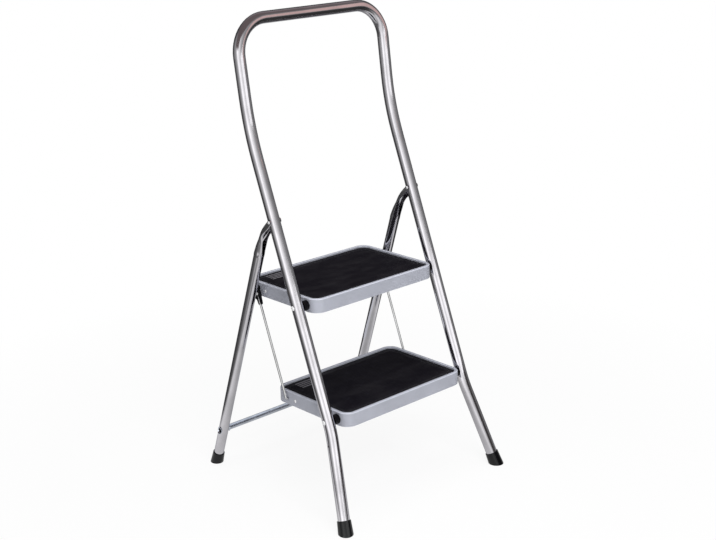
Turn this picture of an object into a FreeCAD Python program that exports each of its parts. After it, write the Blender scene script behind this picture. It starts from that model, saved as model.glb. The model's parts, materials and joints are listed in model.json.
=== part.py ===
import FreeCAD, Part
import math
import os

V = FreeCAD.Vector

# Millimetres and degrees. The stool stands open on the floor at Z = 0, with its front towards -Y and its
# left side at -X. The origin is on the floor, in the middle between the front and the rear feet.

# Stance of the two frames
BASE_LENGTH = 453.2
FOOT_SPACING = 457.8
REAR_FOOT_SPACING = 412.4
LEG_SPACING = 394.0
HOOP_SPACING = 400.0
HOOP_HEIGHT = 996.5
SPLAY_HEIGHT = 188.0
LEAN_HEIGHT = 781.0
HINGE_HEIGHT = 604.0
LEG_LEAN = 20.76
HOOP_LEAN = 7.93
SPLAY_BEND = 250.0
LEAN_BEND = 560.0
HOOP_BEND = 72.0

# Tubes
FRONT_TUBE_R = 12.5
REAR_TUBE_R = 11.0
TUBE_WALL = 1.2
FOLD_GAP = 1.8
VENT_R = 2.0
VENT_HEIGHT = 167.0

# Nose of the rear leg: the tube is slit at the front, opened and drawn in towards the hinge
NOSE_LENGTH = 96.0
NOSE_FRONT_LENGTH = 48.0
NOSE_BACK_LENGTH = 90.0
NOSE_BACK_CURVE = 1.6
NOSE_WIDE_LENGTH = 60.0
NOSE_FULL_LENGTH = 14.0
NOSE_SLOT_LENGTH = 92.0
NOSE_SLOT_SHARES = (
    (0.22, 1.0),
    (0.29, 0.93),
    (0.37, 0.71),
    (0.45, 0.57),
    (0.55, 0.50),
    (0.68, 0.43),
    (0.82, 0.31),
    (0.93, 0.18),
)
NOSE_EAR_R = 5.6
NOSE_SQUARENESS = 8.0
NOSE_GAP = 0.5
NOSE_TRIM = 0.2
NOSE_LAP = 3.0
NOSE_STEP = 0.12
NOSE_POINTS = 40
NOSE_STATIONS = 10

# Crossbar of the rear frame
CROSSBAR_HEIGHT = 88.0
CROSSBAR_R = 6.3
CROSSBAR_WALL = 1.2
CROSSBAR_FLARE_LENGTH = 4.0
CROSSBAR_FLARE_START = 1.2
CROSSBAR_LIP = 1.8
CROSSBAR_BEAD_R = 7.8
CROSSBAR_BEAD_LENGTH = 3.0
CROSSBAR_BEAD_GAP = 0.4

# Rubber feet
FOOT_HEIGHT = 28.0
FOOT_FLOOR = 4.0
FOOT_WALL_TOP = 1.9
FOOT_WALL_BOTTOM = 3.4
FOOT_RIM_ROUND = 0.9
FOOT_SOLE_ROUND = 1.2

# Steps
UPPER_STEP_HEIGHT = 450.6
LOWER_STEP_HEIGHT = 226.3
STEP_DEPTH = 224.0
CORNER_BEFORE_PIVOT = 3.5
SKIRT_HEIGHT = 30.0
SHEET = 1.2
RIM_WIDTH = 7.0
RIM_ROUND = 2.6
RIM_INNER_ROUND = 1.4
RECESS_DEPTH = 7.2
FLANGE_WIDTH = 8.0
PIVOT_FROM_FRONT = 29.0
PIVOT_BELOW_TOP = 14.0
BEAD_R = 5.0
BEAD_DEPTH = 2.4
BEAD_SHARES = (0.25, 0.5, 0.75)
BEAD_LENGTH_SHARE = 0.72

# Rubber mats
MAT_THICKNESS = 3.2
MAT_EDGE_GAP = 0.4
MAT_EDGE_ROUND = 0.8
MAT_GROOVE_WIDTH = 1.2
MAT_GROOVE_DEPTH = 0.7
MAT_GROOVE_PITCH = 4.0
MAT_BORDER_GROOVES = 3

# Link rods, their clips and plates
ROD_R = 2.5
ROD_BEND = 4.0
ROD_FROM_PIVOT = 153.8
ROD_BELOW_PIVOT = 3.0
ROD_INSIDE = 7.3
CLIP_STANDOFF = 1.2
CLIP_BACK = 1.2
CLIP_COVER = 0.1
CLIP_LOBE = 2.1
CLIP_TUBE_GAP = 2.2
CLIP_HEAD_R = 8.0
CLIP_HEAD_RISE = 3.3
CLIP_TAIL_LENGTH = 29.0
CLIP_TAIL_R = 4.4
CLIP_GRIP_LENGTH = 7.0
LOBE_R = 8.6
LOBE_DROP = 5.0
NOTCH_ANGLE = 30.0
NOTCH_FLARE = 7.0
NOTCH_GAP = 0.4
PLATE_THICKNESS = 1.6
PLATE_HEIGHT = 17.0
PLATE_FRONT = 30.0
PLATE_REAR = 9.0
PLATE_RIVET_FROM_ROD = 22.8
CAP_R = 5.5
CAP_THICKNESS = 1.2

# Studs of the rear legs
STUD_R = 3.0
STUD_BELOW_ROD = 6.6
STUD_GAP = 0.3
STUD_FLANGE_R = 4.5
STUD_FLANGE = 1.4

# Rivets and spacers
PIVOT_RIVET_R = 3.0
HINGE_RIVET_R = 2.5
PLATE_RIVET_R = 2.0
PIVOT_HEAD_R = 5.0
PIVOT_HEAD_HEIGHT = 2.0
HINGE_HEAD_R = 3.3
HINGE_HEAD_HEIGHT = 0.9
PLATE_HEAD_R = 3.4
PLATE_HEAD_HEIGHT = 0.9
CROWN_SHARE = 0.15
WASHER_R = 6.5
WASHER_THICKNESS = 1.5
SPACER_R = 10.4
SPACER_DROP = 1.5
SPACER_WING = 1.0

# Clearances
RUNNING = 0.08
SNUG = 0.05
FACE_GAP = 0.3
WASHER_GAP = 0.5
OPEN_PIVOT_GAP = 0.35
OVERRUN = 20.0

# Worked out from the sizes above
CLIP_BODY = CLIP_BACK + 2 * ROD_R + CLIP_COVER
SIDE_GAP = CLIP_STANDOFF + CLIP_BODY + CLIP_LOBE + CLIP_TUBE_GAP
LEG_X = LEG_SPACING / 2
SKIRT_X = LEG_X - FRONT_TUBE_R - SIDE_GAP
ROD_X = SKIRT_X + CLIP_STANDOFF + CLIP_BACK + ROD_R
LOBE_X = SKIRT_X + CLIP_STANDOFF + CLIP_BODY
INNER_X = SKIRT_X - SHEET
STACK = FRONT_TUBE_R + REAR_TUBE_R + FOLD_GAP
EAR_IN = FRONT_TUBE_R + NOSE_GAP
EAR_OUT = EAR_IN + TUBE_WALL
SLIT = EAR_IN + NOSE_TRIM
STEP_CORNER = PIVOT_FROM_FRONT - CORNER_BEFORE_PIVOT
FRONT_Y = -BASE_LENGTH / 2
REAR_Y = BASE_LENGTH / 2
SIDES = (("left", -1), ("right", 1))


def rad(angle):
    return math.radians(angle)


def up(lean):
    """Direction up a leg that leans forward by this angle from the vertical."""
    return V(0, -math.sin(rad(lean)), math.cos(rad(lean)))


def back(lean):
    """Direction square to such a leg, towards the rear."""
    return V(0, math.cos(rad(lean)), math.sin(rad(lean)))


def leg_y(z):
    """Y of the front leg's centreline at a height."""
    return FRONT_Y + z * math.tan(rad(LEG_LEAN))


def on_leg(z):
    return V(0, leg_y(z), z)


def unit(vector):
    return V(vector).normalize()


def cylinder(start, end, radius):
    return Part.makeCylinder(radius, (end - start).Length, start, end - start)


def cross_pin(x0, x1, place, radius):
    """A cylinder along X through a place in the side view."""
    return cylinder(V(x0, place.y, place.z), V(x1, place.y, place.z), radius)


def bar(points, bends, radius):
    """A round bar of straight runs joined by tangent arcs."""
    pieces = []
    start = points[0]
    for before, corner, after, bend in zip(points, points[1:], points[2:], bends):
        into = unit(corner - before)
        out = unit(after - corner)
        turn = into.getAngle(out)
        reach = bend * math.tan(turn / 2)
        arc_start = corner - into * reach
        normal = unit(into.cross(out))
        centre = arc_start + normal.cross(into) * bend
        disc = Part.Face(Part.Wire(Part.makeCircle(radius, arc_start, into)))
        pieces.append(cylinder(start, arc_start, radius))
        pieces.append(disc.revolve(centre, normal, math.degrees(turn)))
        start = corner + out * reach
    pieces.append(cylinder(start, points[-1], radius))
    return pieces[0].multiFuse(pieces[1:]).removeSplitter()


def stretched(points, length):
    """The same route, longer by a length at both ends."""
    first = points[0] - unit(points[1] - points[0]) * length
    last = points[-1] + unit(points[-1] - points[-2]) * length
    return [first] + points[1:-1] + [last]


def tube(points, bends, radius, wall):
    outside = bar(points, bends, radius)
    return outside.cut(bar(stretched(points, OVERRUN), bends, radius - wall))


def side_prism(edges, x0, x1):
    """A closed outline in the side view, drawn at X = 0, as a prism from x0 to x1."""
    face = Part.Face(Part.Wire(edges))
    face.translate(V(x0, 0, 0))
    return face.extrude(V(x1 - x0, 0, 0))


def link_prism(centre_a, radius_a, centre_b, radius_b, x0, x1):
    """Two discs in the side view joined by their outer tangents, as a prism along X."""
    along = unit(centre_b - centre_a)
    across = V(1, 0, 0).cross(along)
    sine = (radius_a - radius_b) / (centre_b - centre_a).Length
    cosine = math.sqrt(1 - sine * sine)
    spokes = [along * sine + across * cosine * side for side in (1, -1)]
    a = [centre_a + spoke * radius_a for spoke in spokes]
    b = [centre_b + spoke * radius_b for spoke in spokes]
    edges = [
        Part.Arc(a[1], centre_a - along * radius_a, a[0]).toShape(),
        Part.makeLine(a[0], b[0]),
        Part.Arc(b[0], centre_b + along * radius_b, b[1]).toShape(),
        Part.makeLine(b[1], a[1]),
    ]
    return side_prism(edges, x0, x1)


def dome(centre, direction, radius, height):
    """A rivet head: a low dome with a small flat crown, on a flat base."""
    axis = unit(direction)
    side = unit(axis.cross(V(0, 1, 1)))
    ball = (radius * radius + height * height) / (2 * height)
    hub = centre + axis * (height - ball)
    rim_angle = math.asin(radius / ball)
    crown_angle = rim_angle * CROWN_SHARE

    def spot(angle):
        return hub + (side * math.sin(angle) + axis * math.cos(angle)) * ball

    rim = centre + side * radius
    crown = spot(crown_angle)
    pole = hub + axis * (ball * math.cos(crown_angle))
    arc = Part.Arc(rim, spot((rim_angle + crown_angle) / 2), crown).toShape()
    lines = [Part.makeLine(centre, rim), arc, Part.makeLine(crown, pole), Part.makeLine(pole, centre)]
    return Part.Face(Part.Wire(lines)).revolve(centre, axis, 360)


def rounded_slab(half_width, front, rear, corner, low, high):
    """A slab with a rounded rectangular outline seen from above."""
    corners = (
        (half_width, front, 0, 1),
        (half_width, rear, -1, 0),
        (-half_width, rear, 0, -1),
        (-half_width, front, 1, 0),
    )
    edges = []
    lasts = []
    firsts = []
    for x, y, dx, dy in corners:
        sx = math.copysign(1, x)
        sy = -1 if y == front else 1
        centre = V(x - sx * corner, y - sy * corner, low)
        ends = [centre + V(0, sy * corner, 0), centre + V(sx * corner, 0, 0)]
        if dx != 0:
            ends.reverse()
        middle = centre + V(sx, sy, 0) * (corner * math.sqrt(0.5))
        firsts.append(ends[0])
        lasts.append(ends[1])
        edges.append(Part.Arc(ends[0], middle, ends[1]).toShape())
    joined = []
    for n, arc in enumerate(edges):
        joined.append(arc)
        joined.append(Part.makeLine(lasts[n], firsts[(n + 1) % len(edges)]))
    face = Part.Face(Part.Wire(joined))
    return face.extrude(V(0, 0, high - low))


def below_floor():
    size = FOOT_SPACING + BASE_LENGTH
    return Part.makeBox(2 * size, 2 * size, OVERRUN * 2, V(-size, -size, -OVERRUN * 2))


# Front frame


def front_route(side):
    """Corners of one upright, from the floor to the hoop."""
    lean = on_leg(LEAN_HEIGHT)
    rise = HOOP_HEIGHT - LEAN_HEIGHT
    return [
        V(side * FOOT_SPACING / 2, FRONT_Y, 0),
        V(side * LEG_X, leg_y(SPLAY_HEIGHT), SPLAY_HEIGHT),
        V(side * LEG_X, lean.y, LEAN_HEIGHT),
        V(side * HOOP_SPACING / 2, lean.y + rise * math.tan(rad(HOOP_LEAN)), HOOP_HEIGHT),
    ]


def tube_end(foot, next_point, radius):
    """Where a leg's tube ends above the floor of its rubber foot."""
    axis = unit(next_point - foot)
    tilt = axis.getAngle(V(0, 0, 1))
    return foot + axis * ((FOOT_FLOOR + radius * math.sin(tilt)) / math.cos(tilt))


def front_points():
    left = front_route(-1)
    right = front_route(1)
    left[0] = tube_end(left[0], left[1], FRONT_TUBE_R)
    right[0] = tube_end(right[0], right[1], FRONT_TUBE_R)
    return left + right[::-1]


def front_leg_rod(radius):
    """Both front legs' straight stretches as solid bars, to shape what lies against them."""
    bars = []
    for name, side in SIDES:
        shift = V(side * LEG_X, 0, 0)
        bars.append(cylinder(on_leg(SPLAY_HEIGHT) + shift, on_leg(LEAN_HEIGHT) + shift, radius))
    return bars


def vent_hole(side):
    """A small hole in the outer face of each leg, below the splay bend."""
    foot, bend = front_route(side)[:2]
    centre = foot + (bend - foot) * (VENT_HEIGHT / SPLAY_HEIGHT)
    return cylinder(centre, centre + V(side * FRONT_TUBE_R * 2, 0, 0), VENT_R)


def front_frame_tube():
    bends = [SPLAY_BEND, LEAN_BEND, HOOP_BEND]
    shape = tube(front_points(), bends + bends[::-1], FRONT_TUBE_R, TUBE_WALL)
    reach = LEG_X + FRONT_TUBE_R + OVERRUN
    holes = [cross_pin(-reach, reach, place, PIVOT_RIVET_R + SNUG) for place in STEP_PIVOTS]
    holes.append(cross_pin(-reach, reach, HINGE, HINGE_RIVET_R + SNUG))
    holes += [vent_hole(side) for name, side in SIDES]
    return shape.cut(holes)


def rubber_foot(foot, next_point, radius):
    """A cap on the end of a leg, its sole cut flat to the floor."""
    axis = unit(next_point - foot)
    seat = tube_end(foot, next_point, radius)
    low = foot - axis * OVERRUN
    high = foot + axis * FOOT_HEIGHT
    taper = (FOOT_WALL_BOTTOM - FOOT_WALL_TOP) / FOOT_HEIGHT
    radius_low = radius + FOOT_WALL_BOTTOM + taper * OVERRUN
    radius_high = radius + FOOT_WALL_TOP
    shape = Part.makeCone(radius_low, radius_high, FOOT_HEIGHT + OVERRUN, low, axis)
    rims = [e for e in shape.Edges if e.Closed and abs(e.Curve.Radius - radius_high) < SNUG]
    shape = shape.makeFillet(FOOT_RIM_ROUND, rims)
    shape = shape.cut(below_floor())
    sole = [e for e in shape.Edges if abs(e.BoundBox.ZMax) < SNUG]
    shape = shape.makeFillet(FOOT_SOLE_ROUND, sole)
    return shape.cut(cylinder(seat, high + axis * OVERRUN, radius + SNUG))


def front_foot(side):
    foot, bend = front_route(side)[:2]
    return rubber_foot(foot, bend, FRONT_TUBE_R)


# Pivots in the side view, at X = 0

HINGE = on_leg(HINGE_HEIGHT)
UPPER_PIVOT = on_leg(UPPER_STEP_HEIGHT - PIVOT_BELOW_TOP)
LOWER_PIVOT = on_leg(LOWER_STEP_HEIGHT - PIVOT_BELOW_TOP)
STEP_PIVOTS = (UPPER_PIVOT, LOWER_PIVOT)
ROD_FROM_STEP_PIVOT = V(0, ROD_FROM_PIVOT, -ROD_BELOW_PIVOT)
ROD_TOP = UPPER_PIVOT + ROD_FROM_STEP_PIVOT
ROD_FOOT = LOWER_PIVOT + ROD_FROM_STEP_PIVOT

# The rear leg's straight line passes behind the hinge by the folded stack of the two tubes
REAR_SPAN = math.hypot(REAR_Y - HINGE.y, HINGE.z)
REAR_LEAN = math.degrees(math.atan2(REAR_Y - HINGE.y, HINGE.z) - math.asin(STACK / REAR_SPAN))
FOLD_ANGLE = LEG_LEAN + REAR_LEAN
REAR_FOOT = V(0, REAR_Y, 0)
SLOT_LEAN = REAR_LEAN + math.degrees(math.atan2(STACK - SLIT, NOSE_LENGTH))


def on_rear_leg(z):
    """A point of the rear leg's straight centreline at a height, in the side view."""
    return V(0, REAR_Y - z * math.tan(rad(REAR_LEAN)), z)


def rear_leg_x(z):
    """Distance of the rear leg's centreline from the middle plane: the legs splay below the nose."""
    top = nose_joint().z
    return LEG_X + (REAR_FOOT_SPACING / 2 - LEG_X) * (top - z) / top


STUD = on_rear_leg(ROD_TOP.z - STUD_BELOW_ROD)


def spacer(side, place):
    """A disc between the step and the leg, set a little low on its rivet, with a saddle that hugs the tube."""
    wing = SKIRT_X + SIDE_GAP + SPACER_WING
    centre = place - V(0, 0, SPACER_DROP)
    shape = cross_pin(side * (SKIRT_X + FACE_GAP), side * wing, centre, SPACER_R)
    shape = shape.cut(front_leg_rod(FRONT_TUBE_R + SNUG))
    return shape.cut(cross_pin(-LEG_X, LEG_X, place, PIVOT_RIVET_R + SNUG))


def pivot_rivet(side, place):
    """From an outer head on the leg, through tube, spacer and skirt, to an inner head under the washer."""
    inner = V(side * (INNER_X - WASHER_GAP - WASHER_THICKNESS), place.y, place.z)
    outer = V(side * (LEG_X + FRONT_TUBE_R), place.y, place.z)
    ends = ((inner, outer), (outer, inner))
    heads = [dome(end, end - far, PIVOT_HEAD_R, PIVOT_HEAD_HEIGHT) for end, far in ends]
    return cylinder(inner, outer, PIVOT_RIVET_R).fuse(heads).removeSplitter()


def pivot_washer(side, place):
    inner = INNER_X - WASHER_GAP - WASHER_THICKNESS
    ring = cross_pin(side * inner, side * (inner + WASHER_THICKNESS), place, WASHER_R)
    return ring.cut(cross_pin(-LEG_X, LEG_X, place, PIVOT_RIVET_R + SNUG))


def hinge_rivet(side):
    """Through both ears of the rear leg and the front tube, with a head outside each ear."""
    reach = EAR_OUT + NOSE_STEP + FACE_GAP
    centre = V(side * LEG_X, HINGE.y, HINGE.z)
    ends = [centre + V(way * reach, 0, 0) for way in (-1, 1)]
    heads = [dome(end, end - centre, HINGE_HEAD_R, HINGE_HEAD_HEIGHT) for end in ends]
    return cylinder(ends[0], ends[1], HINGE_RIVET_R).fuse(heads).removeSplitter()


def pair(make):
    """A left and a right piece in one node."""
    return Part.makeCompound([make(side) for name, side in SIDES])


def step_fasteners(make):
    return Part.makeCompound([make(side, place) for place in STEP_PIVOTS for name, side in SIDES])


# Rear frame


def beside_rear_leg(down, behind):
    """A place in the side view, this far below and behind the hinge, along and square to the rear leg."""
    return HINGE - up(REAR_LEAN) * down + back(REAR_LEAN) * behind


def nose_joint():
    return beside_rear_leg(NOSE_LENGTH - NOSE_LAP, STACK)


def eased(share):
    share = min(1.0, max(0.0, share))
    return share * share * (3 - 2 * share)


def nose_faces(down):
    """How far behind the hinge the nose's front and back lie, this far below the hinge."""
    front = -NOSE_EAR_R + (STACK - REAR_TUBE_R + NOSE_EAR_R) * eased(down / NOSE_FRONT_LENGTH)
    share = min(1.0, max(0.0, down / NOSE_BACK_LENGTH))
    rear = NOSE_EAR_R + (STACK + REAR_TUBE_R - NOSE_EAR_R) * (1 - (1 - share) ** NOSE_BACK_CURVE)
    return front, rear


def nose_section(side, down, inset):
    """The closed outline of the nose at a station: round below, wide and square at the hinge."""
    front, rear = nose_faces(down)
    opened = 1 - eased((down - NOSE_FULL_LENGTH) / (NOSE_WIDE_LENGTH - NOSE_FULL_LENGTH))
    half_width = REAR_TUBE_R + (EAR_OUT - REAR_TUBE_R) * opened - inset
    half_depth = (rear - front) / 2 - inset
    power = 2 / (2 + (NOSE_SQUARENESS - 2) * opened * opened)
    origin = beside_rear_leg(down, (front + rear) / 2) + V(side * LEG_X, 0, 0)
    points = []
    for n in range(NOSE_POINTS):
        angle = 2 * math.pi * n / NOSE_POINTS
        sine, cosine = math.sin(angle), math.cos(angle)
        x = half_width * math.copysign(abs(sine) ** power, sine)
        depth = half_depth * math.copysign(abs(cosine) ** power, cosine)
        points.append(origin + V(x, 0, 0) + back(REAR_LEAN) * depth)
    curve = Part.BSplineCurve()
    curve.interpolate(Points=points, PeriodicFlag=True)
    return Part.Wire(curve.toShape())


def nose_body(side, inset, low, high):
    stations = [low + (high - low) * n / (NOSE_STATIONS - 1) for n in range(NOSE_STATIONS)]
    return Part.makeLoft([nose_section(side, d, inset) for d in stations], True, False)


def nose_slot(side):
    """The slit in the nose, as wide as the front tube at the hinge, then a long leaf down to its tip."""
    origin = HINGE + back(REAR_LEAN) * SLIT + V(side * LEG_X, 0, 0)

    def spot(length_share, width_share):
        along = up(SLOT_LEAN) * (-NOSE_SLOT_LENGTH * length_share)
        return origin + along + V(SLIT * width_share, 0, 0)

    left = [spot(down, -width) for down, width in NOSE_SLOT_SHARES]
    right = [spot(down, width) for down, width in NOSE_SLOT_SHARES]
    leaf = Part.BSplineCurve()
    leaf.interpolate(left + [spot(1, 0)] + right[::-1])
    rise = up(SLOT_LEAN) * (OVERRUN + NOSE_SLOT_LENGTH * NOSE_SLOT_SHARES[0][0])
    corners = [right[0], right[0] + rise, left[0] + rise, left[0]]
    edges = [leaf.toShape()] + [Part.makeLine(a, b) for a, b in zip(corners, corners[1:])]
    face = Part.Face(Part.Wire(edges))
    return face.extrude(back(SLOT_LEAN) * -(REAR_TUBE_R + EAR_OUT + OVERRUN))


def nose_end_round(side):
    """What is cut from the top of the nose, so that its ears end in a half round about the hinge."""
    size = EAR_OUT + OVERRUN
    corners = [
        beside_rear_leg(0, -size),
        beside_rear_leg(0, size),
        beside_rear_leg(-size, size),
        beside_rear_leg(-size, -size),
    ]
    edges = [Part.makeLine(a, b) for a, b in zip(corners, corners[1:] + corners[:1])]
    x0 = side * LEG_X - EAR_OUT - OVERRUN
    x1 = side * LEG_X + EAR_OUT + OVERRUN
    block = side_prism(edges, x0, x1)
    return block.cut(cross_pin(x0, x1, HINGE, NOSE_EAR_R))


def tube_passage(side):
    """Lets the front tube through the nose's back, between the ears."""
    along = up(-LEG_LEAN) * NOSE_LENGTH
    edge = HINGE + back(-LEG_LEAN) * EAR_IN
    far = HINGE - back(-LEG_LEAN) * (EAR_OUT + OVERRUN)
    corners = [edge - along, edge + along, far + along, far - along]
    edges = [Part.makeLine(a, b) for a, b in zip(corners, corners[1:] + corners[:1])]
    half = SLIT - NOSE_TRIM / 2
    return side_prism(edges, side * LEG_X - half, side * LEG_X + half)


def rear_points(side):
    foot = REAR_FOOT + V(side * REAR_FOOT_SPACING / 2, 0, 0)
    return foot, nose_joint() + V(side * LEG_X, 0, 0)


def rear_leg(side):
    top = -NOSE_EAR_R - SNUG
    inside = nose_body(side, TUBE_WALL + NOSE_STEP, NOSE_LENGTH + NOSE_LAP, top - NOSE_LAP)
    nose = nose_body(side, -NOSE_STEP, NOSE_LENGTH, top)
    for tool in (nose_end_round(side), tube_passage(side), nose_slot(side), inside):
        nose = nose.cut(tool)
    foot, joint = rear_points(side)
    leg = tube([tube_end(foot, joint, REAR_TUBE_R), joint], [], REAR_TUBE_R, TUBE_WALL)
    shape = leg.fuse(nose)
    reach = REAR_FOOT_SPACING / 2 + EAR_OUT + OVERRUN
    bar_hole = cross_pin(-reach, reach, on_rear_leg(CROSSBAR_HEIGHT), CROSSBAR_R + SNUG)
    stud_hole = cross_pin(side * SKIRT_X, side * LEG_X, STUD, STUD_R + SNUG)
    hinge_hole = cross_pin(-reach, reach, HINGE, HINGE_RIVET_R + RUNNING)
    shape = shape.cut([bar_hole, stud_hole, hinge_hole])
    return max(shape.Solids, key=lambda solid: solid.Volume)


def crossbar_mouth(side, radius, length):
    """One end of the crossbar, widening outward at 45 degrees from just inside the leg's outer side."""
    place = on_rear_leg(CROSSBAR_HEIGHT)
    start = rear_leg_x(CROSSBAR_HEIGHT) + REAR_TUBE_R - CROSSBAR_FLARE_START
    return Part.makeCone(radius, radius + length, length, V(side * start, place.y, place.z), V(side, 0, 0))


def crossbar_lip(side):
    """The flared lip, pressed round the leg: it reaches further above and below than in front and behind."""
    foot, joint = rear_points(side)
    lip = crossbar_mouth(side, CROSSBAR_R, CROSSBAR_FLARE_LENGTH)
    lip = lip.common(cylinder(foot, joint, REAR_TUBE_R + CROSSBAR_LIP))
    return lip.cut(cylinder(foot, joint, REAR_TUBE_R + SNUG))


def crossbar_bead(side):
    """The bead on the leg's inner side."""
    place = on_rear_leg(CROSSBAR_HEIGHT)
    outer = rear_leg_x(CROSSBAR_HEIGHT) - REAR_TUBE_R - CROSSBAR_BEAD_GAP
    half = CROSSBAR_BEAD_LENGTH / 2
    crest = V(side * (outer - half), place.y, place.z)
    halves = [Part.makeCone(CROSSBAR_BEAD_R, CROSSBAR_R, half, crest, V(way, 0, 0)) for way in (-1, 1)]
    return halves[0].fuse(halves[1])


def rear_crossbar():
    """A tube through both legs, held by a flared end outside each leg and a bead inside it."""
    reach = rear_leg_x(CROSSBAR_HEIGHT) + REAR_TUBE_R
    place = on_rear_leg(CROSSBAR_HEIGHT)
    bore = CROSSBAR_R - CROSSBAR_WALL
    shape = cross_pin(-reach, reach, place, CROSSBAR_R)
    for name, side in SIDES:
        shape = shape.fuse([crossbar_lip(side), crossbar_bead(side)])
    mouths = [crossbar_mouth(side, bore, CROSSBAR_FLARE_LENGTH + CROSSBAR_WALL) for name, side in SIDES]
    inside = cross_pin(-reach - OVERRUN, reach + OVERRUN, place, bore)
    return shape.cut(mouths + [inside]).removeSplitter()


def rear_foot(side):
    foot, joint = rear_points(side)
    return rubber_foot(foot, joint, REAR_TUBE_R)


def latch_stud(side):
    """A plain stud on the leg's inner side, riveted over inside the tube."""
    bore = REAR_TUBE_R - TUBE_WALL
    inside = rear_leg_x(STUD.z - STUD_FLANGE_R) - math.sqrt(bore * bore - STUD_FLANGE_R * STUD_FLANGE_R)
    tip = cross_pin(side * (LOBE_X + STUD_GAP), side * inside, STUD, STUD_R)
    flange = cross_pin(side * inside, side * (inside + STUD_FLANGE), STUD, STUD_FLANGE_R)
    return tip.fuse(flange).removeSplitter()


# Steps, each placed by its pivot


def step_slab(pivot, inset, low, high):
    """A slab inside the step's outline, inset all round, between two depths below the step's top."""
    front = pivot.y - PIVOT_FROM_FRONT
    top = pivot.z + PIVOT_BELOW_TOP
    return rounded_slab(
        SKIRT_X - inset, front + inset, front + STEP_DEPTH - inset, STEP_CORNER - inset, top - low, top - high
    )


def top_edges(shape, height, inset, pivot):
    """The edges of the step's outline at a height, this far inside the outer one."""
    reach = SKIRT_X - inset
    found = []
    for edge in shape.Edges:
        box = edge.BoundBox
        if abs(box.ZMin - height) > SNUG or abs(box.ZMax - height) > SNUG:
            continue
        front = pivot.y - PIVOT_FROM_FRONT + inset
        rear = front + STEP_DEPTH - 2 * inset
        middle = edge.valueAt((edge.FirstParameter + edge.LastParameter) / 2)
        on_sides = abs(abs(middle.x) - reach) < SNUG
        on_ends = min(abs(middle.y - front), abs(middle.y - rear)) < SNUG
        corner = STEP_CORNER - inset
        cx = abs(middle.x) - (reach - corner)
        cy = max(front + corner - middle.y, middle.y - (rear - corner))
        in_corner = cx > 0 and cy > 0 and abs(math.hypot(cx, cy) - corner) < SNUG
        if on_sides or on_ends or in_corner:
            found.append(edge)
    return found


def step_beads(pivot):
    """Shallow stiffening beads pressed down into the floor of the recess, along the step's width."""
    beads = []
    half = SKIRT_X * BEAD_LENGTH_SHARE
    floor = pivot.z + PIVOT_BELOW_TOP - RECESS_DEPTH - SHEET
    front = pivot.y - PIVOT_FROM_FRONT
    for share in BEAD_SHARES:
        centre = V(0, front + STEP_DEPTH * share, floor + BEAD_R - BEAD_DEPTH)
        bead = cylinder(centre - V(half, 0, 0), centre + V(half, 0, 0), BEAD_R)
        above = Part.makeBox(2 * SKIRT_X, 2 * BEAD_R, OVERRUN, V(-SKIRT_X, centre.y - BEAD_R, floor))
        beads.append(bead.cut(above))
    return beads


def step_pan(pivot, rod_hole_r, rivet_places):
    """A pressed pan: skirt, rolled rim, recess for the mat and a return flange under the skirt."""
    shape = step_slab(pivot, 0, SKIRT_HEIGHT, 0)
    shape = shape.makeFillet(RIM_ROUND, top_edges(shape, pivot.z + PIVOT_BELOW_TOP, 0, pivot))
    shape = shape.cut(step_slab(pivot, RIM_WIDTH, RECESS_DEPTH, -OVERRUN))
    shape = shape.makeFillet(RIM_INNER_ROUND, top_edges(shape, pivot.z + PIVOT_BELOW_TOP, RIM_WIDTH, pivot))
    under = RECESS_DEPTH + SHEET
    hollow = step_slab(pivot, SHEET, SKIRT_HEIGHT - SHEET, under)
    groove = step_slab(pivot, SHEET, under, SHEET + RIM_ROUND / 2)
    groove = groove.cut(step_slab(pivot, RIM_WIDTH - SHEET, under, 0))
    mouth = step_slab(pivot, SHEET + FLANGE_WIDTH, SKIRT_HEIGHT + OVERRUN, SKIRT_HEIGHT - SHEET)
    shape = shape.cut([hollow, groove, mouth])
    shape = shape.fuse(step_beads(pivot)).removeSplitter()
    rod = pivot + ROD_FROM_STEP_PIVOT
    holes = [
        cross_pin(-LEG_X, LEG_X, pivot, PIVOT_RIVET_R + RUNNING),
        cross_pin(-LEG_X, LEG_X, rod, rod_hole_r),
    ]
    holes += [cross_pin(-LEG_X, LEG_X, place, PLATE_RIVET_R + SNUG) for place in rivet_places]
    return shape.cut(holes)


def step_mat(pivot):
    """A rubber mat in the recess, with grooves round its border."""
    inset = RIM_WIDTH + MAT_EDGE_GAP
    face_depth = RECESS_DEPTH - MAT_THICKNESS
    shape = step_slab(pivot, inset, RECESS_DEPTH, face_depth)
    height = pivot.z + PIVOT_BELOW_TOP - face_depth
    shape = shape.makeFillet(MAT_EDGE_ROUND, top_edges(shape, height, inset, pivot))
    grooves = []
    for n in range(MAT_BORDER_GROOVES):
        start = inset + MAT_GROOVE_PITCH * (n + 1)
        ring = step_slab(pivot, start, face_depth + MAT_GROOVE_DEPTH, 0)
        grooves.append(ring.cut(step_slab(pivot, start + MAT_GROOVE_WIDTH, face_depth + MAT_GROOVE_DEPTH, 0)))
    return shape.cut(grooves)


def plate_rivet_place(pivot):
    return pivot + ROD_FROM_STEP_PIVOT - V(0, PLATE_RIVET_FROM_ROD, 0)


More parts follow.
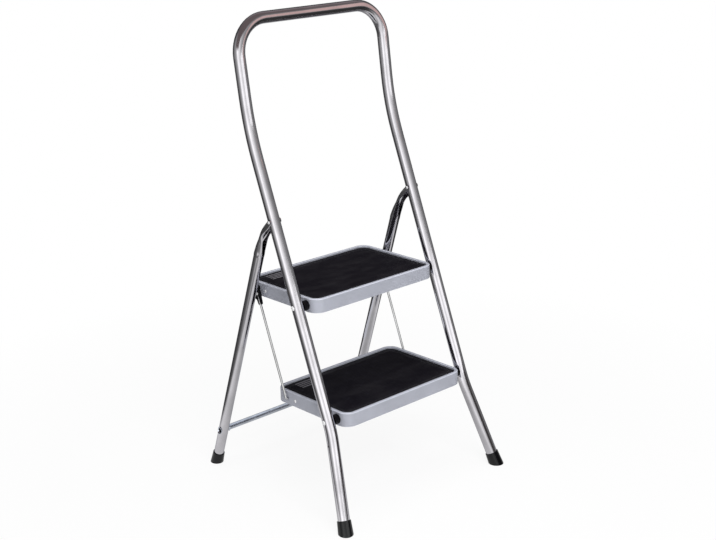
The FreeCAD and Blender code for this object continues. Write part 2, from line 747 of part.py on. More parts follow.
def rod_plate(side, pivot, rod_hole_r):
    """A doubler plate inside the skirt where the rod goes through."""
    rod = pivot + ROD_FROM_STEP_PIVOT
    half = PLATE_HEIGHT / 2
    x0 = min(side * INNER_X, side * (INNER_X - PLATE_THICKNESS))
    plate = Part.makeBox(
        PLATE_THICKNESS, PLATE_FRONT + PLATE_REAR, PLATE_HEIGHT, V(x0, rod.y - PLATE_FRONT, rod.z - half)
    )
    uprights = [e for e in plate.Edges if e.BoundBox.XLength > PLATE_THICKNESS - SNUG]
    plate = plate.makeFillet(half / 2, uprights)
    rivet_hole = cross_pin(-LEG_X, LEG_X, plate_rivet_place(pivot), PLATE_RIVET_R + SNUG)
    return plate.cut([rivet_hole, cross_pin(-LEG_X, LEG_X, rod, rod_hole_r)])


def plate_rivet(side, pivot):
    place = plate_rivet_place(pivot)
    inner = INNER_X - PLATE_THICKNESS
    shank = cross_pin(side * inner, side * SKIRT_X, place, PLATE_RIVET_R)
    outer_head = dome(V(side * SKIRT_X, place.y, place.z), V(side, 0, 0), PLATE_HEAD_R, PLATE_HEAD_HEIGHT)
    inner_head = dome(V(side * inner, place.y, place.z), V(-side, 0, 0), PLATE_HEAD_R, PLATE_HEAD_HEIGHT)
    return shank.fuse([outer_head, inner_head]).removeSplitter()


# Link rods


def rod_route(side, x_end):
    route = ((x_end, ROD_TOP), (ROD_X, ROD_TOP), (ROD_X, ROD_FOOT), (x_end, ROD_FOOT))
    return [V(side * x, place.y, place.z) for x, place in route]


def link_rod(side):
    """A wire rod whose two ends turn inward through the skirts of the steps."""
    return bar(rod_route(side, INNER_X - ROD_INSIDE), [ROD_BEND, ROD_BEND], ROD_R)


def rod_clip(side):
    """A moulded clip on the rod's upper end, with a notch that drops over the stud of the rear leg."""
    down = -up(-LEG_LEAN)
    head = ROD_TOP + V(0, 0, CLIP_HEAD_RISE)
    tail = ROD_TOP + down * CLIP_TAIL_LENGTH
    x0 = side * (SKIRT_X + CLIP_STANDOFF)
    x1 = side * LOBE_X
    x2 = side * (LOBE_X + CLIP_LOBE)
    body = link_prism(head, CLIP_HEAD_R, ROD_TOP, CLIP_HEAD_R, x0, x1)
    body = body.fuse(link_prism(ROD_TOP, CLIP_HEAD_R, tail, CLIP_TAIL_R, x0, x1))
    lobe = link_prism(ROD_TOP, LOBE_R, STUD - V(0, 0, LOBE_DROP), LOBE_R, x1, x2)
    shape = body.fuse(lobe).removeSplitter()
    shape = shape.cut(bar(rod_route(side, 0), [ROD_BEND, ROD_BEND], ROD_R + SNUG))
    return shape.cut([rod_groove(side, down), stud_notch(side)])


def rod_groove(side, down):
    """Opens the clip's outer face over the rod, below the part that grips it."""
    start = ROD_TOP + down * CLIP_GRIP_LENGTH
    end = ROD_TOP + down * (CLIP_TAIL_LENGTH + OVERRUN)
    width = ROD_R + SNUG
    return link_prism(start, width, end, width, side * ROD_X, side * LEG_X)


def stud_notch(side):
    """The notch over the stud, open downward and flared."""
    way = -up(-NOTCH_ANGLE)
    seat = STUD_R + NOTCH_GAP
    mouth = STUD + way * OVERRUN
    return link_prism(STUD, seat, mouth, NOTCH_FLARE, side * LOBE_X, side * LEG_X)


def push_caps(side):
    """Push-on caps on both inner ends of a rod."""
    caps = []
    x1 = INNER_X - PLATE_THICKNESS - FACE_GAP
    for place in (ROD_TOP, ROD_FOOT):
        cap = cross_pin(side * (x1 - CAP_THICKNESS), side * x1, place, CAP_R)
        caps.append(cap.cut(cross_pin(-LEG_X, LEG_X, place, ROD_R + SNUG)))
    return Part.makeCompound(caps)


def all_nodes():
    nodes = {}
    nodes["front_frame_tube"] = front_frame_tube()
    for name, side in SIDES:
        nodes["front_foot_" + name] = front_foot(side)
        nodes["rear_foot_" + name] = rear_foot(side)
        nodes["rear_leg_" + name] = rear_leg(side)
        nodes["step_spacer_upper_" + name] = spacer(side, UPPER_PIVOT)
        nodes["step_spacer_lower_" + name] = spacer(side, LOWER_PIVOT)
        nodes["link_rod_" + name] = link_rod(side)
        nodes["rod_clip_" + name] = rod_clip(side)
        nodes["rod_push_caps_" + name] = push_caps(side)
    nodes["step_pivot_rivets"] = step_fasteners(pivot_rivet)
    nodes["step_pivot_washers"] = step_fasteners(pivot_washer)
    nodes["hinge_rivets"] = pair(hinge_rivet)
    nodes["rear_crossbar"] = rear_crossbar()
    nodes["latch_studs"] = pair(latch_stud)
    fits = (("upper", UPPER_PIVOT, ROD_R + RUNNING), ("lower", LOWER_PIVOT, ROD_R + OPEN_PIVOT_GAP))
    for level, pivot, rod_hole_r in fits:
        places = [plate_rivet_place(pivot)]
        nodes[level + "_step_pan"] = step_pan(pivot, rod_hole_r, places)
        nodes[level + "_step_mat"] = step_mat(pivot)
        nodes[level + "_rod_plates"] = pair(lambda side: rod_plate(side, pivot, rod_hole_r))
        nodes[level + "_plate_rivets"] = pair(lambda side: plate_rivet(side, pivot))
    return nodes


def main():
    os.makedirs("parts", exist_ok=True)
    for name, shape in all_nodes().items():
        shape.exportStep(os.path.join("parts", name + ".step"))
        print(name, len(shape.Solids), round(shape.Volume, 1), shape.isValid())
    places = {
        "hinge": HINGE,
        "upper pivot": UPPER_PIVOT,
        "lower pivot": LOWER_PIVOT,
        "rod top": ROD_TOP,
        "rod foot": ROD_FOOT,
        "stud": STUD,
    }
    for name, place in places.items():
        print(name, round(place.y, 4), round(place.z, 4))
    print("rear lean", round(REAR_LEAN, 4), "fold angle of the rear frame", round(FOLD_ANGLE, 4))


main()
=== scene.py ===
import json
import math

import bmesh
import bpy
from mathutils import Matrix, Vector


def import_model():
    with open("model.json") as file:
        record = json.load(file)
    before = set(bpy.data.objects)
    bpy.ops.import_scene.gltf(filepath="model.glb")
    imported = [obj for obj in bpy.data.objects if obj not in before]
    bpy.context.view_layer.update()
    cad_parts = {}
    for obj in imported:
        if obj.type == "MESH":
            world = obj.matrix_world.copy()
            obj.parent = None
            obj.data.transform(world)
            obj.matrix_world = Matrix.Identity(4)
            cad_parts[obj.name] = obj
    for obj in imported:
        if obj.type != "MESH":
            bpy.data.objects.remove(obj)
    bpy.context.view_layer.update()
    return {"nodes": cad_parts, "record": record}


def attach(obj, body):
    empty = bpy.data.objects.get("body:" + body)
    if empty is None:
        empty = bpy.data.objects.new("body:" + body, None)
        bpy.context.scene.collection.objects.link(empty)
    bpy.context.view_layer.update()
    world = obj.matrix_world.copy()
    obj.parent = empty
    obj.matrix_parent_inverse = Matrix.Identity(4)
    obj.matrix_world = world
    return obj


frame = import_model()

# Metres and degrees, in the frame of the CAD part: the stool faces -Y and its left side is at -X.
# Colours are linear, and a single brightness counts for red, green and blue alike.
WHITE = (1.0, 1.0, 1.0)

# Camera, as the photograph was taken
CAMERA_TARGET = Vector((-0.04357, -0.07774, 0.48340))
CAMERA_AZIMUTH = 42.988
CAMERA_ELEVATION = 17.685
CAMERA_ROLL = -1.035
CAMERA_DISTANCE = 2.7677
CAMERA_LENS = 67.13
SENSOR_WIDTH = 36.0

# Lamps: name, azimuth, elevation, distance, size and energy. They aim at the middle of the stool.
LAMPS = (
    ("key", -22, 38, 2.8, 1.5, 57.0),
    ("fill", -100, 30, 3.0, 1.6, 10.0),
    ("top", 0, 88, 2.4, 1.6, 30.0),
)
LAMP_AIM = Vector((0, 0, 0.45))
WORLD_LEVEL = 0.30

# Floor, which fades into the white background away from the stool
FLOOR_SIZE = 14.0
FLOOR_COLOUR = (0.80, 0.80, 0.80)
FLOOR_ROUGHNESS = 0.9
FLOOR_FADE_START = 0.45
FLOOR_FADE_END = 1.3
FLOOR_WHITE_SHARE = 0.90

# White sheet that metal mirrors in place of the floor: its light, with a painted shadow of the
# stool in the middle, and its fading, by distance
SHEET_SIZE = 1.4
SHEET_HEIGHT = 0.0005
SHEET_PAINTED_SHADOW_END = 0.12
SHEET_BRIGHT_START = 0.42
SHEET_PAINTED_SHADOW_LEVEL = 0.46
SHEET_BRIGHT_LEVEL = 0.76
SHEET_FADE_START = 0.50
SHEET_FADE_END = 0.66

# Cards that metal mirrors: name, centre, width, height and colour
WARM_CARD = ("warm_card", (0.41, -0.30, 1.15), 0.70, 0.37, (0.72, 0.51, 0.48))
FRONT_BOX = ("front_box", (0.16, -3.0, 1.10), 2.67, 0.70, (1.36, 1.36, 1.36))
DARK_CARD = ("dark_card", (0.432, -0.684, 0.20), 0.56, 0.32, (0.06, 0.055, 0.055))

# Level card over the crossbar
CROSSBAR_CARD_X = (-0.15, 0.12)
CROSSBAR_CARD_Y = (0.155, 0.375)
CROSSBAR_CARD_HEIGHT = 0.165
CROSSBAR_CARD_COLOUR = (0.66, 0.68, 0.72)

# Dome that metal mirrors. Its heights are shares of its radius, measured from its middle.
DOME_RADIUS = 10.0
DOME_MIDDLE_HEIGHT = 0.5
DOME_SUBDIVISIONS = 5
FLOOR_RING_SHARES = (-0.62, -0.44)
LOW_RING_SHARES = (-0.22, -0.06)
CEILING_BLEND_SHARE = 0.12
CEILING_BACK_SHARES = (0.33, 0.80)
CEILING_FRONT_COLOUR = (0.16, 0.13, 0.13)
CEILING_BACK_COLOUR = (0.38, 0.33, 0.34)

# Brightness round the dome: angle and level. An angle of 0 is the camera's side, and the angles
# grow to the right as the camera sees it.
RING = (
    (-180, 0.10),
    (-120, 0.08),
    (-108, 0.10),
    (-95, 0.25),
    (-72, 0.36),
    (-52, 0.50),
    (-41, 0.85),
    (-32, 1.25),
    (-23, 1.55),
    (-14, 1.30),
    (-5, 1.12),
    (6, 1.0),
    (14, 0.90),
    (30, 0.62),
    (49, 0.43),
    (69, 0.29),
    (93, 0.24),
    (150, 0.12),
    (180, 0.10),
)
LOW_RING = (
    (-180, 0.60),
    (-160, 0.60),
    (-150, 0.06),
    (-97, 0.07),
    (-64, 0.14),
    (-50, 0.40),
    (-38, 1.0),
    (45, 1.0),
    (62, 0.40),
    (74, 0.04),
    (130, 0.04),
    (150, 0.14),
    (160, 0.60),
    (180, 0.60),
)
FLOOR_RING = (
    (-180, 0.41),
    (-140, 0.34),
    (-110, 0.11),
    (-35, 0.16),
    (-20, 0.25),
    (-4, 0.48),
    (15, 0.62),
    (48, 0.60),
    (58, 0.40),
    (75, 0.04),
    (150, 0.04),
    (165, 0.41),
    (180, 0.41),
)

# Height where the ceiling starts round the dome: angle and share of the radius
CEILING_RING_SHARES = (
    (-180, 0.60),
    (-75, 0.60),
    (-60, 0.30),
    (-8, 0.30),
    (8, 0.60),
    (180, 0.60),
)

# Chrome
CHROME_LINE_STRETCH = (900, 900, 14)
CHROME_DULL_SHARE = 0.80
CHROME_SPECK_SHARE = 0.45
CHROME_GRAZING_TINT = (0.55, 0.55, 0.58)
CHROME_PATCH_ROUGHNESS = 0.07

# Zinc plating
ZINC_PALE_SHARE = 1.18
ZINC_DARK_SHARE = 0.82

# Powder coat
PAINT_DARK_SHARE = 0.93
PAINT_PALE_SHARE = 1.05
# Painted highlight: share by which the rolled rim is paled.
PAINT_RIM_HIGHLIGHT_SHARE = 1.45
# Painted highlight along the edges, whose mask also places the worn chips: share and width.
PAINT_EDGE_HIGHLIGHT_SHARE = 1.45
PAINT_EDGE_HIGHLIGHT_AND_WEAR_WIDTH = 0.0012
PAINT_METALLIC = 0.12
PAINT_ROUGHNESS = (0.36, 0.46)
BARE_STEEL_COLOUR = (0.22, 0.22, 0.23)

# Rubber and black plastic
DEEP_BLACK = (0.002, 0.002, 0.003)
PANEL_GREY = (0.135, 0.13, 0.145)
DUST_COLOUR = (0.16, 0.155, 0.15)
MAT_DUST_COLOUR = (0.16, 0.155, 0.16)
RUBBED_COLOUR = (0.10, 0.10, 0.105)
MAT_RUBBED_COLOUR = (0.11, 0.11, 0.12)
RUBBED_WIDTH = 0.0009
MAT_RUBBED_WIDTH = 0.0008
ROUGHNESS_LOW_SHARE = 0.85
ROUGHNESS_HIGH_SHARE = 1.15
MAT_DUST = 0.07
MAT_SHEEN = 0.13
MAT_PATCH_STRETCH = (0.7, 1.6, 1.0)
MAT_RIB_SCALE = 52.0

# Panel of raised bars moulded in the rear left corner of each mat
PANEL_FROM_SIDE = 0.0315
PANEL_FROM_REAR = 0.0100
PANEL_WIDTH = 0.0520
PANEL_DEPTH = 0.0310
PANEL_RISE = 0.0004
PANEL_BARS = 4
PANEL_BAR_SHARE = 0.48
PANEL_ROUND = 0.0016
PANEL_CORNER_POINTS = 5


class Shade:
    """A material's node tree, built call by call."""

    def __init__(self, name):
        self.material = bpy.data.materials.new(name)
        self.material.use_nodes = True
        self.tree = self.material.node_tree
        self.tree.nodes.clear()
        self.shader = self.tree.nodes.new("ShaderNodeBsdfPrincipled")
        self.out = self.tree.nodes.new("ShaderNodeOutputMaterial")
        self.surface(self.shader)
        self.place = self.tree.nodes.new("ShaderNodeTexCoord").outputs["Object"]

    def node(self, kind, settings=(), **inputs):
        """A node with its inputs fed. An input is named, or numbered as i0, i1 and so on."""
        made = self.tree.nodes.new(kind)
        for key, value in dict(settings).items():
            setattr(made, key, value)
        for key, value in inputs.items():
            numbered = key[0] == "i" and key[1:].isdigit()
            self.feed(made.inputs[int(key[1:]) if numbered else key], value)
        return made

    def feed(self, socket, value):
        """Give a socket a link, a colour of three numbers, or a plain value."""
        if isinstance(value, bpy.types.NodeSocket):
            self.tree.links.new(value, socket)
        elif socket.type == "RGBA":
            socket.default_value = (*value, 1.0)
        else:
            socket.default_value = value

    def set(self, **values):
        for key, value in values.items():
            self.feed(self.shader.inputs[key.replace("_", " ")], value)

    def surface(self, shader):
        self.tree.links.new(shader.outputs[0], self.out.inputs["Surface"])

    def either_shader(self, factor, first, second):
        """The first shader where the factor is 0, the second where it is 1."""
        choose = self.node("ShaderNodeMixShader", i0=factor)
        self.tree.links.new(first.outputs[0], choose.inputs[1])
        self.tree.links.new(second.outputs[0], choose.inputs[2])
        return choose

    def stretched(self, scale, turn=(0, 0, 0)):
        mapping = self.node("ShaderNodeMapping", Vector=self.place)
        mapping.inputs["Scale"].default_value = scale
        mapping.inputs["Rotation"].default_value = [math.radians(t) for t in turn]
        return mapping.outputs["Vector"]

    def noise(self, scale, detail, roughness, place=None):
        made = self.node("ShaderNodeTexNoise", Vector=place or self.place)
        for key, value in (("Scale", scale), ("Detail", detail), ("Roughness", roughness)):
            made.inputs[key].default_value = value
        return made.outputs["Fac"]

    def ramp(self, factor, stops):
        made = self.node("ShaderNodeValToRGB", Fac=factor)
        points = made.color_ramp.elements
        while len(points) < len(stops):
            points.new(0.5)
        for point, (where, value) in zip(points, stops):
            point.position = where
            point.color = (value, value, value, 1)
        return made.outputs["Color"]

    def level(self, value, low, high, to_low=0.0, to_high=1.0):
        """The value from low to high, stretched over to_low to to_high and held there."""
        return self.node(
            "ShaderNodeMapRange", i0=value, i1=low, i2=high, i3=to_low, i4=to_high
        ).outputs[0]

    def math(self, operation, a, b):
        return self.node("ShaderNodeMath", {"operation": operation}, i0=a, i1=b).outputs[0]

    def mix(self, factor, a, b):
        made = self.node("ShaderNodeMix", {"data_type": "RGBA"})
        self.feed(made.inputs[0], factor)
        self.feed(made.inputs[6], a)
        self.feed(made.inputs[7], b)
        return made.outputs[2]

    def bump(self, height, strength, distance, under=None):
        """A bump of this height, on top of another bump's normal if one is given."""
        made = self.node("ShaderNodeBump", Height=height, Strength=strength, Distance=distance)
        if under is not None:
            self.feed(made.inputs["Normal"], under)
        return made.outputs["Normal"]

    def distance(self):
        made = self.node("ShaderNodeVectorMath", {"operation": "LENGTH"}, i0=self.place)
        return made.outputs["Value"]

    def edges(self, width):
        """1 along convex edges, 0 on the faces."""
        soft = self.node("ShaderNodeBevel", {"samples": 6}, Radius=width).outputs["Normal"]
        sharp = self.node("ShaderNodeNewGeometry").outputs["Normal"]
        dot = self.node("ShaderNodeVectorMath", {"operation": "DOT_PRODUCT"}, i0=soft, i1=sharp)
        return self.level(dot.outputs["Value"], low=0.80, high=0.995, to_low=1.0, to_high=0.0)


def scaled(colour, share):
    return tuple(min(1.0, c * share) for c in colour)


def chrome(name, colour, roughness, lean):
    """Chrome on drawn tube: faint lines along it, a few fine specks, soft patches of handling."""
    m = Shade(name)
    along = m.stretched(CHROME_LINE_STRETCH, turn=(lean, 0, 0))
    lines = m.noise(scale=1.0, detail=3.0, roughness=0.6, place=along)
    patches = m.noise(scale=16.0, detail=4.0, roughness=0.6)
    specks = m.noise(scale=700.0, detail=2.0, roughness=0.5)
    tint = m.mix(m.level(patches, low=0.35, high=0.7), colour, scaled(colour, CHROME_DULL_SHARE))
    speckled = m.level(specks, low=0.72, high=0.80, to_high=0.5)
    tint = m.mix(speckled, tint, scaled(colour, CHROME_SPECK_SHARE))
    drawn = m.level(lines, low=0.3, high=0.7, to_low=roughness * 0.8, to_high=roughness * 1.3)
    handled = m.level(patches, low=0.4, high=0.75, to_high=CHROME_PATCH_ROUGHNESS)
    m.set(Base_Color=tint, Roughness=m.math("ADD", drawn, handled))
    m.set(Metallic=1.0, Specular_Tint=CHROME_GRAZING_TINT)
    fine = m.bump(lines, strength=0.10, distance=0.00004)
    m.set(Normal=m.bump(patches, strength=0.12, distance=0.0006, under=fine))
    return m.material


def zinc(name, colour, roughness, metallic=1.0):
    """Zinc plating: cloudy, with fine grain."""
    m = Shade(name)
    clouds = m.noise(scale=70.0, detail=5.0, roughness=0.65)
    grain = m.noise(scale=1500.0, detail=2.0, roughness=0.5)
    cloudy = m.level(clouds, low=0.35, high=0.65)
    tint = m.mix(cloudy, scaled(colour, ZINC_DARK_SHARE), scaled(colour, ZINC_PALE_SHARE))
    rough = m.level(clouds, low=0.3, high=0.7, to_low=roughness * 1.25, to_high=roughness * 0.8)
    m.set(Base_Color=tint, Metallic=metallic, Roughness=rough)
    coarse = m.bump(clouds, strength=0.2, distance=0.0002)
    m.set(Normal=m.bump(grain, strength=0.25, distance=0.00005, under=coarse))
    return m.material


def rolled_rim(m):
    """1 where the sheet rolls over from the skirt to the top, 0 on upright and on level faces."""
    normal = m.tree.nodes.new("ShaderNodeTexCoord").outputs["Normal"]
    upward = m.node("ShaderNodeSeparateXYZ", Vector=normal).outputs["Z"]
    not_upright = m.level(upward, low=0.15, high=0.45)
    not_level = m.level(upward, low=0.80, high=0.97, to_low=1.0, to_high=0.0)
    return m.math("MULTIPLY", not_upright, not_level)


def powder_coat(name, colour):
    """Satin powder coat on pressed sheet: orange peel, blotches, worn chips on the edges, and
    painted highlights that pale the edges and the rolled rim.
    """
    m = Shade(name)
    peel = m.noise(scale=420.0, detail=3.0, roughness=0.5)
    blotch = m.noise(scale=13.0, detail=4.0, roughness=0.6)
    chips = m.noise(scale=160.0, detail=4.0, roughness=0.7)
    blotchy = m.level(blotch, low=0.35, high=0.65)
    tint = m.mix(blotchy, scaled(colour, PAINT_DARK_SHARE), scaled(colour, PAINT_PALE_SHARE))
    # Painted highlight: the rolled rim is paled as if light caught its curve.
    tint = m.mix(m.math("MULTIPLY", rolled_rim(m), 0.8), tint, scaled(colour, PAINT_RIM_HIGHLIGHT_SHARE))
    # Painted highlight: the edges are paled as if lit. The same edge mask also places real worn
    # chips.
    edge_highlight_and_wear = m.edges(PAINT_EDGE_HIGHLIGHT_AND_WEAR_WIDTH)
    tint = m.mix(m.math("MULTIPLY", edge_highlight_and_wear, 0.45), tint, scaled(colour, PAINT_EDGE_HIGHLIGHT_SHARE))
    worn = m.math("MULTIPLY", edge_highlight_and_wear, m.level(chips, low=0.62, high=0.70))
    tint = m.mix(m.math("MULTIPLY", worn, 0.6), tint, BARE_STEEL_COLOUR)
    smooth, rough = PAINT_ROUGHNESS
    m.set(Base_Color=tint, Metallic=PAINT_METALLIC, Specular_IOR_Level=0.5)
    m.set(Roughness=m.level(blotch, low=0.3, high=0.7, to_low=smooth, to_high=rough))
    m.set(Normal=m.bump(peel, strength=0.16, distance=0.00016))
    return m.material


def patchy_roughness(m, patches, roughness):
    low, high = roughness * ROUGHNESS_LOW_SHARE, min(1.0, roughness * ROUGHNESS_HIGH_SHARE)
    return m.level(patches, low=0.35, high=0.7, to_low=low, to_high=high)


def rubber(name, colour, roughness, grain_scale, dust, sheen):
    """Moulded black rubber: fine grain, a little pale dust and rubbed edges."""
    m = Shade(name)
    grain = m.noise(scale=grain_scale, detail=3.0, roughness=0.6)
    patches = m.noise(scale=26.0, detail=5.0, roughness=0.65)
    tint = m.mix(m.level(patches, low=0.4, high=0.75, to_high=dust), colour, DUST_COLOUR)
    tint = m.mix(m.math("MULTIPLY", m.edges(RUBBED_WIDTH), 0.20), tint, RUBBED_COLOUR)
    m.set(Base_Color=tint, Roughness=patchy_roughness(m, patches, roughness))
    m.set(Specular_IOR_Level=sheen)
    soft = m.bump(patches, strength=0.1, distance=0.0004)
    m.set(Normal=m.bump(grain, strength=0.35, distance=0.00012, under=soft))
    return m.material


def mat_rubber(name, colour, roughness):
    """The mats' rubber: fine ribs along the step's width, scuffed and dusty in soft patches."""
    m = Shade(name)
    grain = m.noise(scale=900.0, detail=3.0, roughness=0.6)
    patches = m.noise(scale=18.0, detail=5.0, roughness=0.65, place=m.stretched(MAT_PATCH_STRETCH))
    wave = m.node("ShaderNodeTexWave", {"bands_direction": "Y"}, Vector=m.place)
    wave.inputs["Scale"].default_value = MAT_RIB_SCALE
    wave.inputs["Distortion"].default_value = 0.0
    tint = m.mix(m.level(patches, low=0.42, high=0.75, to_high=MAT_DUST), colour, MAT_DUST_COLOUR)
    tint = m.mix(m.math("MULTIPLY", m.edges(MAT_RUBBED_WIDTH), 0.5), tint, MAT_RUBBED_COLOUR)
    m.set(Base_Color=tint, Roughness=patchy_roughness(m, patches, roughness))
    m.set(Specular_IOR_Level=MAT_SHEEN)
    fine = m.bump(grain, strength=0.3, distance=0.00012)
    m.set(Normal=m.bump(wave.outputs["Fac"], strength=0.5, distance=0.00025, under=fine))
    return m.material


MATERIALS = {
    "tube_chrome": chrome("tube_chrome", (0.75, 0.735, 0.77), roughness=0.10, lean=20.76),
    "rod_chrome": chrome("rod_chrome", (0.72, 0.72, 0.72), roughness=0.18, lean=20.76),
    "crossbar_zinc": zinc("crossbar_zinc", (0.66, 0.70, 0.78), roughness=0.14),
    # The rivets' near-white colour, paler than bare steel, is partly a painted highlight. It
    # stands in for the bright glint on the rivet heads.
    "rivet_steel": zinc("rivet_steel", (0.95, 0.95, 0.97), roughness=0.20, metallic=0.10),
    "fitting_steel": zinc("fitting_steel", (0.42, 0.42, 0.44), roughness=0.38),
    "step_paint": powder_coat("step_paint", (0.44, 0.455, 0.52)),
    "mat_rubber": mat_rubber("mat_rubber", (0.0045, 0.0038, 0.0066), roughness=0.70),
    "foot_rubber": rubber(
        "foot_rubber", DEEP_BLACK, roughness=0.12, grain_scale=700.0, dust=0.02, sheen=0.42
    ),
    "black_plastic": rubber(
        "black_plastic", DEEP_BLACK, roughness=0.40, grain_scale=1200.0, dust=0.02, sheen=0.12
    ),
}
for row in frame["record"]["subparts"]:
    node = frame["nodes"][row["node"]]
    node.data.materials.clear()
    node.data.materials.append(MATERIALS[row["material_slot"]])


def rounded_outline(x0, x1, y0, y1, radius):
    """Points of a rectangle with round corners, seen from above, anticlockwise."""
    points = []
    for centre_x, centre_y, start in (
        (x1 - radius, y0 + radius, -90),
        (x1 - radius, y1 - radius, 0),
        (x0 + radius, y1 - radius, 90),
        (x0 + radius, y0 + radius, 180),
    ):
        for n in range(PANEL_CORNER_POINTS):
            turn = math.radians(start + 90 * n / (PANEL_CORNER_POINTS - 1))
            points.append((centre_x + radius * math.cos(turn), centre_y + radius * math.sin(turn)))
    return points


def moulded_bar(shape, x0, x1, y0, y1, base, top):
    """A low bar with round corners and a softened upper edge, standing in the mat's face."""
    soft = (top - base) / 2
    rows = []
    for i, z in ((0.0, base), (0.0, top - soft / 2), (soft / 2, top)):
        outline = rounded_outline(x0 + i, x1 - i, y0 + i, y1 - i, PANEL_ROUND - i)
        rows.append([shape.verts.new((x, y, z)) for x, y in outline])
    shape.faces.new(rows[0][::-1])
    shape.faces.new(rows[-1])
    for low, high in zip(rows, rows[1:]):
        for n in range(len(low)):
            after = (n + 1) % len(low)
            shape.faces.new((low[n], low[after], high[after], high[n]))


def mesh_from(shape, name):
    mesh = bpy.data.meshes.new(name)
    shape.to_mesh(mesh)
    shape.free()
    return mesh


def add_object(name, data):
    made = bpy.data.objects.new(name, data)
    bpy.context.scene.collection.objects.link(made)
    return made


def mat_panel(level, material):
    """A plain panel of raised bars in the rear left corner of a mat. It rides on its step."""
    node = frame["nodes"][level + "_step_mat"]
    places = [node.matrix_world @ v.co for v in node.data.vertices]
    left = min(v.x for v in places) + PANEL_FROM_SIDE
    rear = max(v.y for v in places) - PANEL_FROM_REAR
    face = max(v.z for v in places)
    pitch = PANEL_DEPTH / PANEL_BARS
    shape = bmesh.new()
    for n in range(PANEL_BARS):
        y1 = rear - pitch * n
        y0 = y1 - pitch * PANEL_BAR_SHARE
        moulded_bar(shape, left, left + PANEL_WIDTH, y0, y1, face - PANEL_RISE, face + PANEL_RISE)
    mesh = mesh_from(shape, level + "_mat_panel")
    mesh.materials.append(material)
    made = add_object(level + "_mat_panel", mesh)
    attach(made, level + "_step")


def mat_panels():
    material = rubber(
        "panel_rubber", PANEL_GREY, roughness=0.60, grain_scale=900.0, dust=0.10, sheen=0.3
    )
    for level in ("upper", "lower"):
        mat_panel(level, material)


def world():
    """White behind the stool and in what metal mirrors; a plain soft level on everything else."""
    made = bpy.data.worlds.new("studio")
    made.use_nodes = True
    tree = made.node_tree
    tree.nodes.clear()
    out = tree.nodes.new("ShaderNodeOutputWorld")
    light = tree.nodes.new("ShaderNodeBackground")
    white = tree.nodes.new("ShaderNodeBackground")
    choose = tree.nodes.new("ShaderNodeMixShader")
    rays = tree.nodes.new("ShaderNodeLightPath")
    light.inputs["Strength"].default_value = WORLD_LEVEL
    white.inputs["Strength"].default_value = 1.0
    for background in (light, white):
        background.inputs["Color"].default_value = (*WHITE, 1.0)
    seen = rays.outputs["Is Camera Ray"]
    for ray in ("Is Glossy Ray", "Is Transmission Ray"):
        either = tree.nodes.new("ShaderNodeMath")
        either.operation = "MAXIMUM"
        tree.links.new(seen, either.inputs[0])
        tree.links.new(rays.outputs[ray], either.inputs[1])
        seen = either.outputs[0]
    tree.links.new(seen, choose.inputs[0])
    tree.links.new(light.outputs[0], choose.inputs[1])
    tree.links.new(white.outputs[0], choose.inputs[2])
    tree.links.new(choose.outputs[0], out.inputs["Surface"])
    bpy.context.scene.world = made


def stage_object(name, mesh, shade):
    made = add_object(name, mesh)
    mesh.materials.append(shade.material)
    return made


def flat_mesh(name, corners):
    mesh = bpy.data.meshes.new(name)
    mesh.from_pydata(corners, [], [(0, 1, 2, 3)])
    return mesh


def level_mesh(name, x0, x1, y0, y1, z):
    return flat_mesh(name, [(x0, y0, z), (x1, y0, z), (x1, y1, z), (x0, y1, z)])


def floor():
    """A pale floor that fades into the white background and keeps the stool's soft shadow."""
    half = FLOOR_SIZE / 2
    mesh = level_mesh("floor", -half, half, -half, half, 0)
    m = Shade("floor")
    rays = m.tree.nodes.new("ShaderNodeLightPath")
    m.set(Base_Color=FLOOR_COLOUR, Roughness=FLOOR_ROUGHNESS)
    glow = m.node("ShaderNodeEmission", Color=WHITE, Strength=1.0)
    fade = m.level(m.distance(), FLOOR_FADE_START, FLOOR_FADE_END, to_low=FLOOR_WHITE_SHARE)
    seen = m.math("MAXIMUM", rays.outputs["Is Camera Ray"], rays.outputs["Is Glossy Ray"])
    m.surface(m.either_shader(m.math("MULTIPLY", seen, fade), m.shader, glow))
    stage_object("floor", mesh, m).visible_glossy = False


def only_mirrored(made):
    made.visible_camera = made.visible_diffuse = made.visible_shadow = False
    made.visible_transmission = made.visible_volume_scatter = False


def glowing(name, colour=WHITE):
    m = Shade(name)
    glow = m.node("ShaderNodeEmission", Color=colour, Strength=1.0)
    m.surface(glow)
    return m, glow


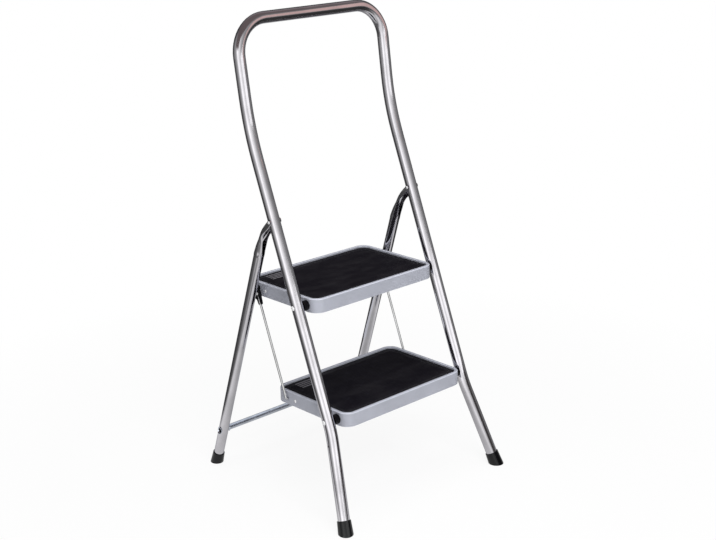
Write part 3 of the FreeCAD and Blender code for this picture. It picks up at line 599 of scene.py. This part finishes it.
def dome():
    """What the metal mirrors: soft boxes and dark gaps, a dim ceiling and the pale floor."""
    shape = bmesh.new()
    bmesh.ops.create_icosphere(shape, subdivisions=DOME_SUBDIVISIONS, radius=DOME_RADIUS)
    mesh = mesh_from(shape, "studio_dome")
    m, glow = glowing("studio_dome")
    parts = m.node("ShaderNodeSeparateXYZ", Vector=m.place)
    x, y, z = (parts.outputs[k] for k in "XYZ")
    turn = m.math("ARCTAN2", x, m.math("MULTIPLY", y, -1.0))
    share = m.level(turn, -math.pi, math.pi)
    height = m.math("DIVIDE", z, DOME_RADIUS)
    ring, low, under, start = (
        m.ramp(share, [((angle + 180) / 360, value) for angle, value in table])
        for table in (RING, LOW_RING, FLOOR_RING, CEILING_RING_SHARES)
    )
    band = m.mix(m.level(height, *LOW_RING_SHARES), low, ring)
    above = m.math("SUBTRACT", height, start)
    back = m.level(y, *(DOME_RADIUS * s for s in CEILING_BACK_SHARES))
    ceiling = m.mix(back, CEILING_FRONT_COLOUR, CEILING_BACK_COLOUR)
    band = m.mix(m.level(above, 0.0, CEILING_BLEND_SHARE), band, ceiling)
    band = m.mix(m.level(height, *FLOOR_RING_SHARES, to_low=1.0, to_high=0.0), band, under)
    m.feed(glow.inputs["Color"], band)
    made = stage_object("studio_dome", mesh, m)
    made.location = (0, 0, DOME_MIDDLE_HEIGHT)
    made.rotation_euler = (0, 0, -math.radians(CAMERA_AZIMUTH))
    only_mirrored(made)


def card(name, centre, width, height, colour):
    """A studio card that only metal mirrors. It stands upright and faces the stool."""
    w, h = width / 2, height / 2
    mesh = flat_mesh(name, [(-w, 0, -h), (w, 0, -h), (w, 0, h), (-w, 0, h)])
    made = stage_object(name, mesh, glowing(name, colour)[0])
    made.location = centre
    made.rotation_euler = (0, 0, math.atan2(-centre[1], -centre[0]) - math.pi / 2)
    only_mirrored(made)


def crossbar_card():
    """A level card over the crossbar that only metal mirrors."""
    mesh = level_mesh("crossbar_card", *CROSSBAR_CARD_X, *CROSSBAR_CARD_Y, CROSSBAR_CARD_HEIGHT)
    m, glow = glowing("crossbar_card", CROSSBAR_CARD_COLOUR)
    only_mirrored(stage_object("crossbar_card", mesh, m))


def floor_sheet():
    """White sheet under the stool as metal mirrors it: dim below the stool in a painted shadow of
    the stool, faded at its edge.
    """
    half = SHEET_SIZE / 2
    mesh = level_mesh("floor_sheet", -half, half, -half, half, 0)
    m, glow = glowing("floor_sheet")
    away = m.distance()
    # Painted shadow: the sheet glows dimmer below the stool, where the stool would shade the
    # floor.
    light = m.level(away, SHEET_PAINTED_SHADOW_END, SHEET_BRIGHT_START, SHEET_PAINTED_SHADOW_LEVEL, SHEET_BRIGHT_LEVEL)
    m.feed(glow.inputs["Strength"], light)
    clear = m.node("ShaderNodeBsdfTransparent")
    there = m.level(away, SHEET_FADE_START, SHEET_FADE_END, to_low=1.0, to_high=0.0)
    m.surface(m.either_shader(there, clear, glow))
    made = stage_object("floor_sheet", mesh, m)
    made.location = (0, 0, SHEET_HEIGHT)
    only_mirrored(made)


def lamp(name, azimuth, elevation, distance, size, energy):
    """A square lamp aimed at the stool. Metal mirrors the dome in its place."""
    data = bpy.data.lights.new(name, "AREA")
    data.shape = "SQUARE"
    data.size = size
    data.energy = energy
    made = add_object(name, data)
    a, e = math.radians(azimuth), math.radians(elevation)
    out = Vector((math.sin(a) * math.cos(e), -math.cos(a) * math.cos(e), math.sin(e)))
    made.location = LAMP_AIM + out * distance
    made.rotation_mode = "QUATERNION"
    made.rotation_quaternion = out.to_track_quat("Z", "Y")
    made.visible_glossy = False


def camera():
    az, el, roll = (math.radians(v) for v in (CAMERA_AZIMUTH, CAMERA_ELEVATION, CAMERA_ROLL))
    ahead = Vector((math.sin(az) * math.cos(el), math.cos(az) * math.cos(el), -math.sin(el)))
    right = ahead.cross(Vector((0, 0, 1))).normalized()
    above = right.cross(ahead)
    turned = math.cos(roll) * right + math.sin(roll) * above
    upright = turned.cross(ahead)
    data = bpy.data.cameras.new("camera")
    data.lens = CAMERA_LENS
    data.sensor_width = SENSOR_WIDTH
    made = add_object("camera", data)
    made.matrix_world = Matrix((turned, upright, -ahead)).transposed().to_4x4()
    made.location = CAMERA_TARGET - ahead * CAMERA_DISTANCE
    bpy.context.scene.camera = made


mat_panels()
world()
floor()
dome()
floor_sheet()
for row in (WARM_CARD, FRONT_BOX, DARK_CARD):
    card(*row)
crossbar_card()
for row in LAMPS:
    lamp(*row)
camera()
bpy.context.scene.view_settings.view_transform = "Standard"
